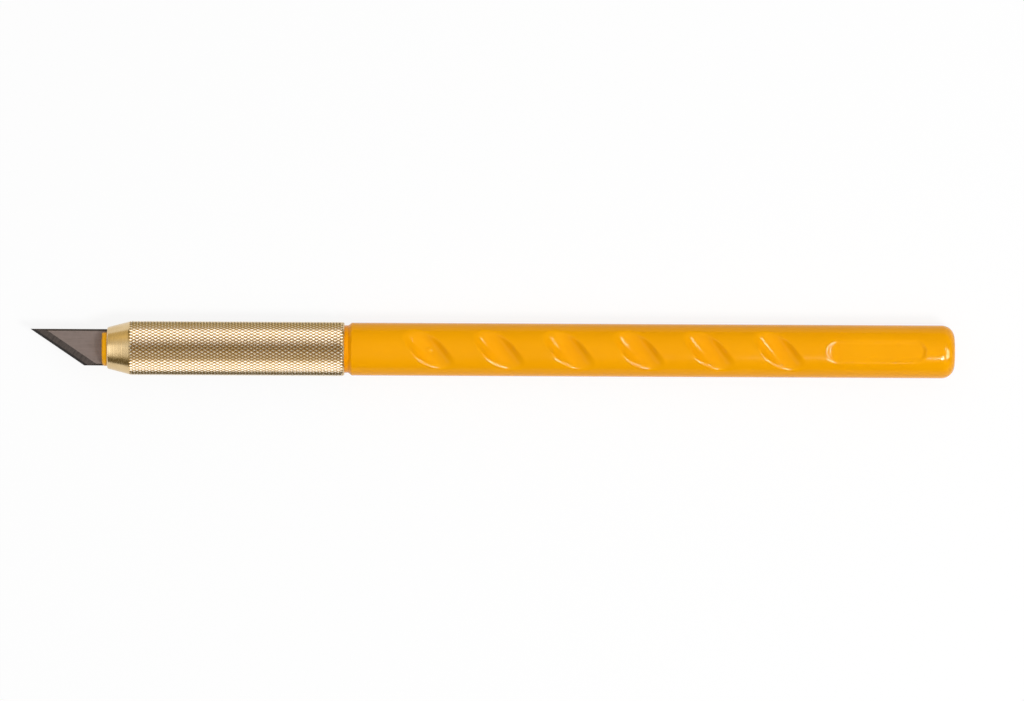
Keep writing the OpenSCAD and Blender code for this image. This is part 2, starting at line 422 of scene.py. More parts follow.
@dataclass(frozen=True)
class GroundSteel:
    """Ground tool steel with fine grinding lines and a little mottling.

    Attributes:
        name: The material's name.
        colour: Main colour.
        line_colour: Colour of the darker grinding lines.
        lay: Which way the grinding lines run.
        metal: Share of bare metal. The rest is a dark matt film.
        roughness: Lowest and highest roughness, which vary with the mottling.
        line_width: Width of the grinding lines, in millimetres.
        line_length: Length of the grinding lines.
        line_depth: Depth of the grinding lines.
        line_range: Values of the noise between which the lines set in.
        mottle_size: Size of the mottling.
        mottle_share: Least and greatest strength that the mottling leaves the lines.
    """

    name: str
    colour: Colour
    line_colour: Colour
    lay: Lay
    metal: float = 0.5
    roughness: Pair = (0.4, 0.52)
    line_width: float = 0.05
    line_length: float = 3.0
    line_depth: float = 0.0006
    line_range: Pair = (0.35, 0.7)
    mottle_size: float = 0.9
    mottle_share: Pair = (0.5, 1.0)

    def make(self) -> bpy.types.Material:
        """Builds the material.

        Returns:
            The material.
        """
        coat = Coat(self.name)
        wiring = coat.wiring
        turn = (0.0, 0.0, -math.radians(self.lay.value))
        stretch = (1.0 / self.line_length / MM, 1.0 / self.line_width / MM, 1.0 / self.line_length / MM)
        turned = wiring.add("ShaderNodeMapping", {"Vector": coat.place, "Rotation": turn}).outputs[0]
        streaks = wiring.add("ShaderNodeMapping", {"Vector": turned, "Scale": stretch}).outputs[0]
        lines = wiring.add("ShaderNodeTexNoise", {"Vector": streaks, "Scale": 1.0, "Detail": 3.0}).outputs[0]
        mottle = wiring.noise(coat.place, self.mottle_size, detail=5.0)
        share = wiring.times(wiring.spread(lines, self.line_range, RISING),
                             wiring.spread(mottle, NOISE_RANGE, self.mottle_share))
        coat.set(
            Base_Color=wiring.blend(share, self.colour, self.line_colour),
            Roughness=wiring.spread(mottle, NOISE_RANGE, self.roughness),
            Metallic=self.metal,
        )
        coat.bump([(lines, self.line_depth)])
        return coat.material


@dataclass(frozen=True)
class Corner:
    """One corner of an outline that is turned round the axis.

    Attributes:
        x: Station, in millimetres.
        r: Radius, in millimetres.
        fillet: How far the rounding of the corner reaches along its two sides.
    """

    x: float
    r: float
    fillet: float = 0.0


def rounded(corners: Sequence[Corner], loop: bool, steps: int = 5) -> np.ndarray:
    """Outline through corners, with its fillets drawn as smooth curves that take up to half of a side.

    Args:
        corners: The corners, in order.
        loop: Whether the outline closes on itself. The ends of an open one stay sharp.
        steps: Points in one fillet, less one.

    Returns:
        An array of stations and radii, one row a point.
    """
    spots = [np.array((c.x, c.r)) for c in corners]
    points: list[np.ndarray] = []
    for i, corner in enumerate(corners):
        inside = loop or 0 < i < len(corners) - 1
        if not (inside and corner.fillet):
            points.append(spots[i])
            continue
        before = spots[i - 1] - spots[i]
        after = spots[(i + 1) % len(spots)] - spots[i]
        start = spots[i] + before * min(0.5, corner.fillet / np.linalg.norm(before))
        end = spots[i] + after * min(0.5, corner.fillet / np.linalg.norm(after))
        for t in np.linspace(0.0, 1.0, steps + 1):
            points.append((1 - t) ** 2 * start + 2 * t * (1 - t) * spots[i] + t ** 2 * end)
    return np.array(points)


def soft_min(first: np.ndarray, second: np.ndarray, width: float) -> np.ndarray:
    """The lower of two heights, with the edge where they meet rounded over a width."""
    share = np.clip(1.0 - np.abs(first - second) / width, 0.0, None)
    return np.minimum(first, second) - width * share ** 2 / 4


def soft_max(first: np.ndarray, second: np.ndarray, width: float) -> np.ndarray:
    """The higher of two heights, with the corner where they meet rounded over a width."""
    return -soft_min(-first, -second, width)


def full_circle(columns: int) -> np.ndarray:
    """Angles of the points of a ring, as one row."""
    return np.linspace(0.0, FULL_TURN, columns, endpoint=False)[None, :]


def round_points(x: np.ndarray, r: np.ndarray, columns: int) -> np.ndarray:
    """Points of rings round the axis.

    Args:
        x: Stations, one a ring, or one a point of each ring.
        r: Radii, given like the stations.
        columns: Points in a ring. The first lies at +z, and the next towards +y.

    Returns:
        An array of rings by columns by three coordinates.
    """
    turn = full_circle(columns)
    stations = np.broadcast_to(x if x.ndim == 2 else x[:, None], (len(x), columns))
    radii = np.broadcast_to(r if r.ndim == 2 else r[:, None], (len(r), columns))
    return np.stack((stations, radii * np.sin(turn), radii * np.cos(turn)), axis=2)


def ring_faces(rings: int, columns: int, loop: bool) -> Faces:
    """Faces between rings of points.

    Args:
        rings: Number of rings.
        columns: Points in a ring.
        loop: Whether the last ring is joined back to the first.

    Returns:
        The points of each face.
    """
    faces = []
    for i in range(rings if loop else rings - 1):
        low, high = i * columns, (i + 1) % rings * columns
        for j in range(columns):
            k = (j + 1) % columns
            faces.append((low + j, low + k, high + k, high + j))
    return faces


def turn_outwards(mesh: bpy.types.Mesh) -> None:
    """Turns the faces of closed shells outwards.

    Args:
        mesh: The shells' mesh.
    """
    shell = bmesh.new()
    shell.from_mesh(mesh)
    bmesh.ops.recalc_face_normals(shell, faces=shell.faces)
    shell.to_mesh(mesh)
    shell.free()


def show(name: str, mesh: bpy.types.Mesh) -> bpy.types.Object:
    """Puts a mesh into the scene.

    Args:
        name: The object's name.
        mesh: Its mesh, in place.

    Returns:
        The object.
    """
    obj = bpy.data.objects.new(name, mesh)
    bpy.context.scene.collection.objects.link(obj)
    return obj


def make_object(name: str, points: np.ndarray, faces: Faces, axis: Axis) -> bpy.types.Object:
    """Makes one object from points in the knife's own millimetres.

    Args:
        name: The object's name.
        points: One row a point.
        faces: The points of each face.
        axis: Where the knife lies.

    Returns:
        The object, with its faces turned outwards.
    """
    mesh = bpy.data.meshes.new(name)
    mesh.from_pydata(axis.place(points).tolist(), [], faces)
    turn_outwards(mesh)
    return show(name, mesh)


def smooth(obj: bpy.types.Object, crease: float) -> None:
    """Shades an object smoothly, apart from edges that turn by more than a crease in degrees."""
    obj.data.shade_smooth()
    obj.data.set_sharp_from_angle(angle=math.radians(crease))


class GeometryTool:
    """A Geometry Nodes tree that adds a repeated form to a shell. Its sizes are named inputs."""

    def __init__(self, name: str, inputs: dict[str, str]) -> None:
        """Makes the tree with a geometry input, the given inputs and a material.

        Args:
            name: The tree's name.
            inputs: Socket type of each further input, by name.
        """
        self.tree = bpy.data.node_groups.new(name, "GeometryNodeTree")
        face = self.tree.interface
        face.new_socket("Shell", in_out="INPUT", socket_type="NodeSocketGeometry")
        for key, kind in inputs.items():
            face.new_socket(key, in_out="INPUT", socket_type=kind)
        face.new_socket("Finish", in_out="INPUT", socket_type="NodeSocketMaterial")
        face.new_socket("Shell", in_out="OUTPUT", socket_type="NodeSocketGeometry")
        self.wiring = Wiring(self.tree)
        self.given = self.wiring.add("NodeGroupInput").outputs

    def close(self, form: Socket) -> None:
        """Shades the form flat, realizes it, gives it its finish and joins it to the shell.

        Args:
            form: The form's geometry.
        """
        wiring = self.wiring
        flat = wiring.add("GeometryNodeSetShadeSmooth", {"Geometry": form, "Shade Smooth": False}).outputs[0]
        realized = wiring.add("GeometryNodeRealizeInstances", {0: flat}).outputs[0]
        sockets = {"Geometry": realized, "Material": self.given["Finish"]}
        dressed = wiring.add("GeometryNodeSetMaterial", sockets).outputs[0]
        joined = wiring.add("GeometryNodeJoinGeometry")
        wiring.feed(joined.inputs[0], dressed)
        wiring.feed(joined.inputs[0], self.given["Shell"])
        wiring.add("NodeGroupOutput", {0: joined.outputs[0]})

    def apply(self, obj: bpy.types.Object, values: dict[str, Any]) -> None:
        """Runs the tree on an object and keeps the result as a plain mesh.

        Args:
            obj: The shell's object.
            values: The inputs, by name.
        """
        modifier = obj.modifiers.new(self.tree.name, "NODES")
        modifier.node_group = self.tree
        for item in self.tree.interface.items_tree:
            if item.in_out == "INPUT" and item.name in values:
                modifier[item.identifier] = values[item.name]
        depsgraph = bpy.context.evaluated_depsgraph_get()
        mesh = bpy.data.meshes.new_from_object(obj.evaluated_get(depsgraph), depsgraph=depsgraph)
        obj.modifiers.remove(modifier)
        obj.data = mesh


class DiamondKnurl(GeometryTool):
    """Tree that sets rows of blunt pyramids round a cylinder and turns a chamfer at both ends.

    Attributes:
        SIDES: Sides of a pyramid.
    """

    SIDES = 4

    def __init__(self) -> None:
        """Makes the tree."""
        sizes = ("Front", "Rear", "Row Step", "Root Radius", "Crest Radius", "Flat Share", "Sink",
                 "Chamfer", "Chamfer Slope", "Axis Height")
        counts = {"Rows": "NodeSocketInt", "Starts": "NodeSocketInt"}
        super().__init__("diamond_knurl", counts | {key: "NodeSocketFloat" for key in sizes})
        w = self.wiring
        points, angle = self.points()
        rows = w.add("GeometryNodeInstanceOnPoints", {
            "Points": points,
            "Instance": self.pyramid(),
            "Rotation": w.vector(w.negative(angle), 0.0, 0.0),
        }).outputs[0]
        self.close(self.chamfered(w.add("GeometryNodeRealizeInstances", {0: rows}).outputs[0]))

    def points(self) -> tuple[Socket, Socket]:
        """Points of the pyramids, in rows of which each second one is staggered by half a step.

        Returns:
            The points, and the angle of each from +z towards +y.
        """
        w, given = self.wiring, self.given
        index = w.add("GeometryNodeInputIndex").outputs[0]
        row = w.reckon("FLOOR", w.over(index, given["Starts"]))
        column = w.minus(index, w.times(row, given["Starts"]))
        stagger = w.times(w.reckon("MODULO", row, 2.0), 0.5)
        angle = w.times(w.over(w.plus(column, stagger), given["Starts"]), FULL_TURN)
        along = w.plus(given["Front"], w.times(row, given["Row Step"]))
        across = w.times(given["Root Radius"], w.reckon("SINE", angle))
        up = w.plus(given["Axis Height"], w.times(given["Root Radius"], w.reckon("COSINE", angle)))
        points = w.add("GeometryNodePoints", {
            "Count": w.times(given["Rows"], given["Starts"]),
            "Position": w.vector(along, across, up),
        }).outputs[0]
        return points, angle

    def pyramid(self) -> Socket:
        """One pyramid, a column wide and two rows long at the root, and sunk a little below it.

        Returns:
            The pyramid's geometry.
        """
        w, given = self.wiring, self.given
        depth = w.minus(given["Crest Radius"], given["Root Radius"])
        tall = w.plus(depth, given["Sink"])
        taper = w.minus(1.0, given["Flat Share"])
        grow = w.plus(1.0, w.over(w.times(taper, given["Sink"]), depth))
        half_width = w.over(w.times(given["Root Radius"], math.pi), given["Starts"])
        cone = w.add("GeometryNodeMeshCone", {
            "Vertices": self.SIDES,
            "Radius Top": w.over(given["Flat Share"], grow),
            "Radius Bottom": 1.0,
            "Depth": 1.0,
        }).outputs[0]
        return w.add("GeometryNodeTransform", {
            "Geometry": cone,
            "Translation": w.vector(0.0, 0.0, w.negative(given["Sink"])),
            "Scale": w.vector(w.times(given["Row Step"], grow), w.times(half_width, grow), tall),
        }).outputs[0]

    def chamfered(self, form: Socket) -> Socket:
        """The knurl, held between its ends and turned down to a chamfer at each.

        Args:
            form: The pyramids' geometry.

        Returns:
            The geometry with its points moved.
        """
        w, given = self.wiring, self.given
        along, across, up = w.parts(w.add("GeometryNodeInputPosition").outputs[0])
        x = w.lower(w.higher(along, given["Front"]), given["Rear"])
        rise = w.minus(up, given["Axis Height"])
        from_end = w.lower(w.minus(x, given["Front"]), w.minus(given["Rear"], x))
        lost = w.higher(w.minus(given["Chamfer"], from_end), 0.0)
        limit = w.minus(given["Crest Radius"], w.times(lost, given["Chamfer Slope"]))
        shrink = w.lower(w.over(limit, w.radius(across, rise)), 1.0)
        height = w.plus(given["Axis Height"], w.times(rise, shrink))
        position = w.vector(x, w.times(across, shrink), height)
        return w.add("GeometryNodeSetPosition", {"Geometry": form, "Position": position}).outputs[0]


class ThreadRidge(GeometryTool):
    """Tree that winds a thread ridge along a helix on a cylindrical wall and fades it out at both ends.

    Attributes:
        TURN_STEPS: Points in one turn of the helix.
        LEAST_SCALE: Scale of the ridge's section at its very ends.
    """

    TURN_STEPS = 48
    LEAST_SCALE = 0.02

    def __init__(self) -> None:
        """Makes the tree."""
        sizes = ("Turns", "Pitch", "Wall Radius", "Height", "Root Width", "Crest Width", "Sink", "Start",
                 "Fade", "Axis Height")
        super().__init__("thread_ridge", {key: "NodeSocketFloat" for key in sizes})
        w, given = self.wiring, self.given
        helix = w.add("GeometryNodeCurveSpiral", {
            "Resolution": self.TURN_STEPS,
            "Rotations": given["Turns"],
            "Start Radius": given["Wall Radius"],
            "End Radius": given["Wall Radius"],
            "Height": w.times(given["Turns"], given["Pitch"]),
        }).outputs[0]
        along = w.add("GeometryNodeSplineParameter").outputs["Factor"]
        to_end = w.lower(along, w.minus(1.0, along))
        share = w.over(w.times(to_end, given["Turns"]), given["Fade"])
        ridge = w.add("GeometryNodeCurveToMesh", {
            "Curve": w.add("GeometryNodeSetCurveNormal", {"Curve": helix}, mode="Z_UP").outputs[0],
            "Profile Curve": self.section(),
            "Scale": w.higher(w.lower(share, 1.0), self.LEAST_SCALE),
            "Fill Caps": True,
        }).outputs[0]
        self.close(w.add("GeometryNodeTransform", {
            "Geometry": ridge,
            "Translation": w.vector(given["Start"], 0.0, given["Axis Height"]),
            "Rotation": (0.0, math.radians(90.0), 0.0),
        }).outputs[0])

    def section(self) -> Socket:
        """Section of the ridge, rooted in the wall.

        Returns:
            The section's curve.
        """
        w, given = self.wiring, self.given
        foot, crest = w.times(given["Root Width"], 0.5), w.times(given["Crest Width"], 0.5)
        below = w.negative(given["Sink"])
        return w.add("GeometryNodeCurvePrimitiveQuadrilateral", {
            "Point 1": w.vector(below, w.negative(foot), 0.0),
            "Point 2": w.vector(given["Height"], w.negative(crest), 0.0),
            "Point 3": w.vector(given["Height"], crest, 0.0),
            "Point 4": w.vector(below, foot, 0.0),
        }, mode="POINTS").outputs[0]


@dataclass(frozen=True)
class Thread:
    """The screw thread that the barrel's spigot and the collar share, in millimetres.

    Attributes:
        pitch: Advance of one turn.
        depth: Height of the ridges.
        flank_angle: Lean of the ridges' flanks, in degrees.
        flank_gap: Gap at the ridges' flanks.
        sink: How deep a ridge is rooted in its wall.
        fade: Turns in which a ridge runs out.
    """

    pitch: float = 0.75
    depth: float = 0.3
    flank_angle: float = 30.0
    flank_gap: float = 0.07
    sink: float = 0.05
    fade: float = 0.5

    def cut(self, tool: ThreadRidge, obj: bpy.types.Object, axis: Axis, finish: bpy.types.Material,
            wall_r: float, start: float, turns: float, outwards: bool) -> None:
        """Winds the ridge on a wall of an object.

        Args:
            tool: The thread's tree.
            obj: The object with the wall.
            axis: Where the knife lies.
            finish: The ridge's material.
            wall_r: Radius of the wall.
            start: Station where the ridge begins.
            turns: Number of turns.
            outwards: Whether the ridge stands outwards from the wall.
        """
        sign = 1 if outwards else -1
        lean = self.depth * math.tan(math.radians(self.flank_angle))
        middle = self.pitch / 2 - self.flank_gap
        tool.apply(obj, {
            "Turns": turns,
            "Pitch": self.pitch * MM,
            "Wall Radius": wall_r * MM,
            "Height": sign * self.depth * MM,
            "Root Width": (middle + lean) * MM,
            "Crest Width": (middle - lean) * MM,
            "Sink": sign * self.sink * MM,
            "Start": axis.frame_x(start),
            "Fade": self.fade,
            "Axis Height": axis.height,
            "Finish": finish,
        })


@dataclass(frozen=True)
class Scoops:
    """Two rows of slanted finger scoops, cut by a round cutter across both faces of the barrel.

    Attributes:
        count: Scoops in a row.
        pitch: Distance between scoops.
        cutter_r: Radius of the cutter.
        depth: Depth at the middle of a scoop.
        angle: Angle of the cutter to the axis, in degrees.
        bend_r: Radii of the slight hollow along a scoop's two halves. On the +z face the first of them is
            the half towards the spine.
        rim: Width over which the rims are rounded.
    """

    count: int = 6
    pitch: float = 11.52
    cutter_r: float = 2.7
    depth: float = 1.4
    angle: float = 52.0
    bend_r: Pair = (30.0, 70.0)
    rim: float = 0.45

    def radius(self, x: np.ndarray, turn: np.ndarray, first: float, barrel_r: float) -> np.ndarray:
        """Radius at which a ray square to the axis meets the cutters.

        Args:
            x: Stations.
            turn: Angles of the rays from +z towards +y.
            first: Station of the first scoop's middle.
            barrel_r: Radius of the barrel.

        Returns:
            The radii, infinite where a ray meets no cutter.
        """
        slant = math.radians(self.angle)
        height = barrel_r - self.depth + self.cutter_r
        found = np.full(np.broadcast(x, turn).shape, np.inf)
        for face in (0.0, math.pi):
            side = np.sin(turn + face) * math.cos(slant)
            up = np.cos(turn + face)
            square = side ** 2 + up ** 2
            for i in range(self.count):
                away = x - first - i * self.pitch
                run = away * math.sin(slant)
                along = away * math.cos(slant) - barrel_r * np.sin(turn + face) * math.sin(slant)
                bend = np.where(along < 0, *self.bend_r)
                lifted = height + np.minimum(along, self.pitch) ** 2 / (2 * bend)
                middle = (up * lifted - run * side) / square
                rest = (run ** 2 + lifted ** 2 - self.cutter_r ** 2) / square
                inside = middle ** 2 - rest
                hit = middle - np.sqrt(np.clip(inside, 0.0, None))
                found = np.minimum(found, np.where((inside > 0) & (hit > 0), hit, np.inf))
        return found


@dataclass(frozen=True)
class SunkPanel:
    """The sunk panel near the butt end, with a flat bare floor, round ends and sloped walls.

    Attributes:
        length: Length over the round ends.
        width: Width.
        depth: Depth of the floor at its middle line.
        wall_slope: Rise of the walls over their run.
        rim: Width over which rim and floor corner are rounded.
        facing: Least cosine of the angle from +z at which the panel is looked for.
    """

    length: float = 16.4
    width: float = 3.55
    depth: float = 0.5
    wall_slope: float = 1.0
    rim: float = 0.22
    facing: float = 0.5

    def radius(self, x: np.ndarray, turn: np.ndarray, front: float, barrel_r: float) -> np.ndarray:
        """Radius of the panel's floor and walls.

        Args:
            x: Stations.
            turn: Angles from +z towards +y.
            front: Station of the panel's front end.
            barrel_r: Radius of the barrel.

        Returns:
            The radii, larger than the barrel's outside the panel.
        """
        floor = (barrel_r - self.depth) / np.maximum(np.cos(turn), self.facing)
        beyond = np.abs(x - front - self.length / 2) - (self.length - self.width) / 2
        gap = np.hypot(np.maximum(beyond, 0.0), barrel_r * np.sin(turn)) - self.width / 2
        gap = np.where(np.cos(turn) > self.facing, gap, self.length)
        return soft_max(np.broadcast_to(floor, gap.shape), barrel_r + self.wall_slope * gap, self.rim)


@dataclass
class Barrel:
    """The moulded grip barrel with its socket, threaded spigot, neck, scoops, sunk panel and round butt.

    Attributes:
        axis: Where the knife lies.
        radius: Radius of the grip.
        thread: The spigot's thread.
        scoops: The rows of scoops.
        panel: The sunk panel.
        socket_r: Radius of the socket.
        socket_len: Depth of the socket.
        spigot_wall: Wall of the spigot under its thread.
        spigot_lead: Plain length in front of the thread.
        spigot_bevel: Bevel of the spigot's front edge.
        spigot_turns: Turns of the thread.
        neck_len: Length of the neck.
        shoulder_step: How far the grip stands over the neck.
        shoulder_len: Length of the sloped shoulder.
        neck_shade_end: How far behind the shoulder the painted shade beside the collar ends.
        edge: Rounding of small edges.
        head_end: Length of plain grip that the front outline takes in.
        first_row: Distance from the shoulder's rear end to the first row of the grip's points.
        scoop_lead: Distance from the socket's floor to the first scoop's middle.
        scoop_reach: Lengths in front of the first scoop's middle and behind the last one's that the
            leaning rows of points take in.
        panel_lead: Distance from the last scoop's middle to the panel's front end.
        panel_end: How far behind the panel its closer rows end.
        butt_r: Radius of the butt's round edge.
        butt_steps: Points along the butt's round edge.
        gate_offset: Distance of the gate mark behind the first scoop's middle.
        gate_size: Radius of the gate mark.
        gate_rise: Height of the gate mark.
        row_step: Distance between rows at the scoops.
        panel_share: Distance between rows at the panel, as a share of that.
        plain_rows: Number of rows in front of the scoops and behind the panel.
        columns: Points in a row.
        crease: Least turn of the edges that stay sharp, in degrees.
    """

    axis: Axis
    radius: float
    thread: Thread
    scoops: Scoops = field(default_factory=Scoops)
    panel: SunkPanel = field(default_factory=SunkPanel)
    socket_r: float = 3.148
    socket_len: float = 19.05
    spigot_wall: float = 0.42
    spigot_lead: float = 0.5
    spigot_bevel: float = 0.1
    spigot_turns: int = 9
    neck_len: float = 2.6
    shoulder_step: float = 0.44
    shoulder_len: float = 0.55
    neck_shade_end: float = 0.2
    edge: float = 0.05
    head_end: float = 1.0
    first_row: float = 1.6
    scoop_lead: float = 4.7
    scoop_reach: Pair = (6.0, 5.0)
    panel_lead: float = 7.95
    panel_end: float = 0.6
    butt_r: float = 2.15
    butt_steps: int = 15
    gate_offset: float = 0.15
    gate_size: float = 0.55
    gate_rise: float = 0.16
    row_step: float = 0.2
    panel_share: float = 0.8
    plain_rows: tuple[int, int] = (6, 4)
    columns: int = 144
    crease: float = 32.0

    def __post_init__(self) -> None:
        """Works out the stations of the barrel's features from its front end."""
        self.front, self.butt = self.axis.ends("barrel")
        self.core_r = self.socket_r + self.spigot_wall
        self.neck_r = self.radius - self.shoulder_step
        self.thread_start = self.front + self.spigot_lead
        self.neck = self.thread_start + self.thread.pitch * (self.spigot_turns + 1)
        self.shoulder = self.neck + self.neck_len
        self.grip = self.shoulder + self.shoulder_len
        self.socket_floor = self.front + self.socket_len
        self.first_scoop = self.socket_floor + self.scoop_lead
        self.last_scoop = self.first_scoop + (self.scoops.count - 1) * self.scoops.pitch
        self.panel_front = self.last_scoop + self.panel_lead

    def build(self, tool: ThreadRidge, plastic: bpy.types.Material) -> bpy.types.Object:
        """Makes the barrel as one closed shell, with its thread.

        Args:
            tool: The thread's tree.
            plastic: The barrel's material.

        Returns:
            The barrel's object.
        """
        rings = np.concatenate((
            round_points(*self.head_outline().T, self.columns),
            round_points(*self.grip_rows(), self.columns),
            round_points(*self.butt_outline().T, self.columns),
        ))
        count = len(rings)
        points = np.concatenate((rings.reshape(-1, 3), [(self.socket_floor, 0, 0), (self.butt, 0, 0)]))
        faces = ring_faces(count, self.columns, loop=False)
        pole, last = count * self.columns, (count - 1) * self.columns
        for j in range(self.columns):
            k = (j + 1) % self.columns
            faces.append((pole, k, j))
            faces.append((pole + 1, last + j, last + k))
        obj = make_object("barrel_moulding", points, faces, self.axis)
        smooth(obj, self.crease)
        obj.data.materials.append(plastic)
        self.thread.cut(tool, obj, self.axis, plastic, self.core_r, self.thread_start,
                        self.spigot_turns, outwards=True)
        return obj

    def head_outline(self) -> np.ndarray:
        """Outline from the socket's floor, forward along the bore and back outside up to the grip.

        Returns:
            An array of stations and radii, one row a point.
        """
        return rounded((
            Corner(self.socket_floor, self.socket_r),
            Corner(self.front, self.socket_r, self.edge),
            Corner(self.front, self.core_r - self.spigot_bevel),
            Corner(self.front + self.spigot_bevel, self.core_r),
            Corner(self.neck, self.core_r),
            Corner(self.neck, self.neck_r, self.edge),
            Corner(self.shoulder, self.neck_r, self.edge),
            Corner(self.grip, self.radius, 2 * self.edge),
            Corner(self.grip + self.head_end, self.radius),
        ), loop=False)

    def butt_outline(self) -> np.ndarray:
        """Outline of the round edge of the butt end.

        Returns:
            An array of stations and radii, one row a point.
        """
        bend = np.linspace(0.0, math.pi / 2, self.butt_steps)
        x = self.butt - self.butt_r + self.butt_r * np.sin(bend)
        r = self.radius - self.butt_r + self.butt_r * np.cos(bend)
        return np.stack((x, r), axis=1)

    def grip_rows(self) -> tuple[np.ndarray, np.ndarray]:
        """The grip's points, in rows that lean with the scoops.

        Returns:
            Their stations and their radii, each an array of rows by columns.
        """
        first = self.grip + self.first_row
        start, end = self.first_scoop - self.scoop_reach[0], self.last_scoop + self.scoop_reach[1]
        finish = self.panel_front + self.panel.length + self.panel_end
        rows = np.concatenate((
            np.linspace(first, start, self.plain_rows[0], endpoint=False),
            np.arange(start, end, self.row_step),
            np.arange(end, finish, self.panel_share * self.row_step),
            np.linspace(finish, self.butt - self.butt_r, self.plain_rows[1], endpoint=False),
        ))[:, None]
        turn = full_circle(self.columns)
        ease_in = np.clip((rows - first) / (start - first), 0.0, 1.0)
        ease_out = np.clip((self.panel_front - rows) / (self.panel_front - end), 0.0, 1.0)
        lean = -self.radius / math.tan(math.radians(self.scoops.angle)) / 2
        x = rows + lean * np.sin(2 * turn) * ease_in * ease_out
        return x, self.grip_radius(x, turn)

    def grip_radius(self, x: np.ndarray, turn: np.ndarray) -> np.ndarray:
        """Radius of the grip with its scoops, gate mark and panel.

        Args:
            x: Stations.
            turn: Angles from +z towards +y.

        Returns:
            The radii.
        """
        plain = np.full(np.broadcast(x, turn).shape, self.radius)
        scoops = self.scoops.radius(x, turn, self.first_scoop, self.radius)
        panel = self.panel.radius(x, turn, self.panel_front, self.radius)
        sunk = soft_min(soft_min(plain, scoops, self.scoops.rim), panel, self.panel.rim)
        arc = np.where(np.cos(turn) > 0, self.radius * np.sin(turn), self.radius)
        away = np.hypot(x - self.first_scoop - self.gate_offset, arc) / self.gate_size
        return sunk + self.gate_rise * np.clip(1.0 - away ** 2, 0.0, None)

    def neck_shade(self) -> Pair:
        """Frame X, in metres, of the shoulder's foot and of the end of the painted shade beside the collar.
        """
        return self.axis.frame_x(self.shoulder), self.axis.frame_x(self.grip + self.neck_shade_end)

    def dress(self, obj: bpy.types.Object) -> None:
        """Puts the barrel on its body in place of the plain solid.

        Args:
            obj: The barrel's object.
        """
        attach(obj, "handle")
        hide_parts("barrel")


